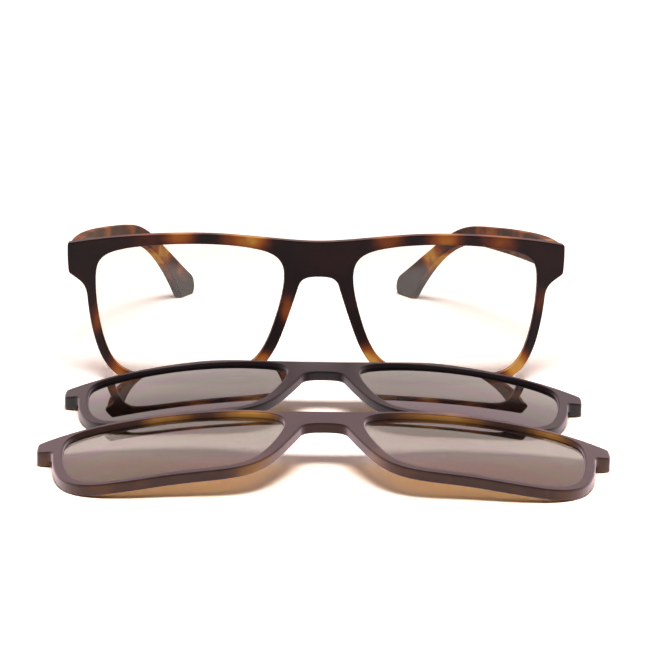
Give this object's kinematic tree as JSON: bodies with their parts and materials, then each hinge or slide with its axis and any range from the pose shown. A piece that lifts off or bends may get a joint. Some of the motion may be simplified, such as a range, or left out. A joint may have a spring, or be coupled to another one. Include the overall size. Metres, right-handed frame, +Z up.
{
  "type": "eyeglass frame with sun clips",
  "caption": "Square full-rim eyeglasses with open folding temples, and magnetic sun clips in black and tortoise that lie face up in front of them.",
  "frame": {"origin": "on the table, under the middle of the whole set's box", "axes": "+Y runs back along the open temples, away from the wearer's view; +Z is up from the table; +X is the wearer's left"},
  "size_m": [0.1434, 0.2763, 0.0434],
  "materials": {
    "tortoise_acetate": "satin acetate, dark brown with amber patches",
    "black_acetate": "satin",
    "brown_acetate": "satin, warm brown tortoise with a grey-brown face",
    "clear_lens": "clear plastic",
    "sun_lens": "grey polarised plastic with a faint mirror coat",
    "hinge_metal": "satin",
    "magnet": "nickel plated"
  },
  "bodies": {
    "front": {"frame_front": "tortoise_acetate", "demo_lens_left": "clear_lens", "demo_lens_right": "clear_lens", "front_hinge_leaf_left": "hinge_metal", "front_hinge_leaf_right": "hinge_metal", "hinge_screw_left": "hinge_metal", "hinge_screw_right": "hinge_metal", "frame_magnet_left": "magnet", "frame_magnet_right": "magnet"},
    "left_temple": {"temple_left": "tortoise_acetate", "temple_hinge_leaf_left": "hinge_metal"},
    "right_temple": {"temple_right": "tortoise_acetate", "temple_hinge_leaf_right": "hinge_metal"},
    "black_clip": {"black_clip_frame": "black_acetate", "black_clip_lens_left": "sun_lens", "black_clip_lens_right": "sun_lens", "black_clip_magnet_left": "magnet", "black_clip_magnet_right": "magnet"},
    "tortoise_clip": {"tortoise_clip_frame": "brown_acetate", "tortoise_clip_lens_left": "sun_lens", "tortoise_clip_lens_right": "sun_lens", "tortoise_clip_magnet_left": "magnet", "tortoise_clip_magnet_right": "magnet"}
  },
  "joints": [
    {"name": "left_temple_fold", "type": "hinge", "parent": "front", "child": "left_temple", "pos_m": [0.0674, 0.00005, 0.0358], "axis": [0, 0, 1], "range_deg": [0, 78]},
    {"name": "right_temple_fold", "type": "hinge", "parent": "front", "child": "right_temple", "pos_m": [-0.065, 0.00005, 0.0358], "axis": [0, 0, -1], "range_deg": [0, 73]},
    {"name": "black_clip_swing", "type": "hinge", "parent": "front", "child": "black_clip", "pos_m": [0.0012, -0.04278, 0.03756], "axis": [0.9989, -0.0305, 0.0346], "range_deg": [0, 82.88]},
    {"name": "tortoise_clip_raise", "type": "hinge", "parent": "front", "child": "tortoise_clip", "pos_m": [-0.00346, -0.13534, 0], "axis": [0.9989, -0.0471, 0], "range_deg": [0, 82.82]}
  ]
}
